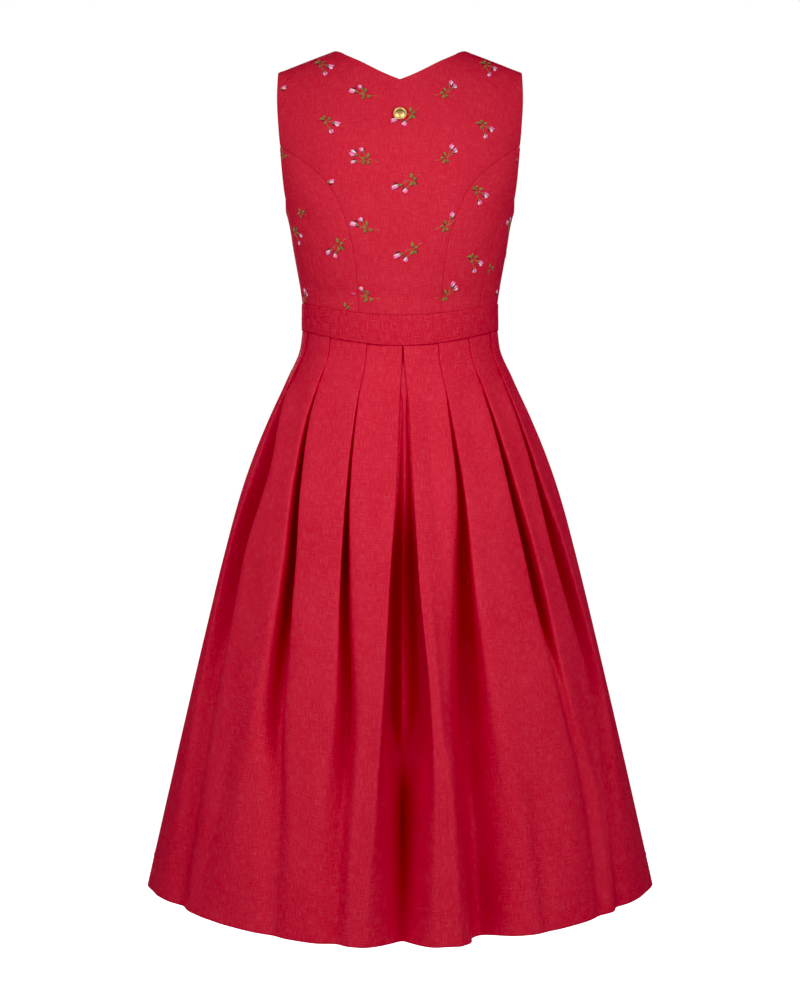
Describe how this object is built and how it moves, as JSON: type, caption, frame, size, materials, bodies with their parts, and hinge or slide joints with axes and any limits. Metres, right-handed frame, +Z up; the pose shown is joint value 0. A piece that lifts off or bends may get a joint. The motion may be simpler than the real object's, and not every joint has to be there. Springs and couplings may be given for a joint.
{
  "type": "dirndl",
  "caption": "Sleeveless linen dirndl in its worn shape: fitted embroidered bodice, waistband and a full pleated skirt, hollow, with open neck, armholes and hem.",
  "frame": {"origin": "middle of the shoulder line, halfway between the two neck points, where the wearer's shoulders hold the dress up", "axes": "+Z up; +Y out of the back of the dress, so the wearer faces -Y; +X towards the wearer's left"},
  "size_m": [0.6364, 0.4989, 1.0916],
  "materials": {
    "bodice_linen": "matt plain-weave linen with slubs, embroidered with small sprigs",
    "band_linen": "matt plain-weave linen, folded double",
    "skirt_linen": "plain-weave linen with slubs and a soft sheen",
    "covered_button": "button covered in the same linen",
    "gold_metal": "plain polished gold-coloured stud"
  },
  "bodies": {
    "root": {"back_centre": "bodice_linen", "back_side_left": "bodice_linen", "back_side_right": "bodice_linen", "front_side_left": "bodice_linen", "front_side_right": "bodice_linen", "front_centre_left": "bodice_linen", "front_centre_right": "bodice_linen", "waistband": "band_linen", "skirt_back": "skirt_linen", "skirt_front_right": "skirt_linen", "skirt_front_left": "skirt_linen", "button_1": "covered_button", "button_2": "covered_button", "button_3": "covered_button", "button_4": "covered_button", "button_5": "covered_button", "button_band": "covered_button", "neck_stud": "gold_metal"}
  },
  "joints": []
}
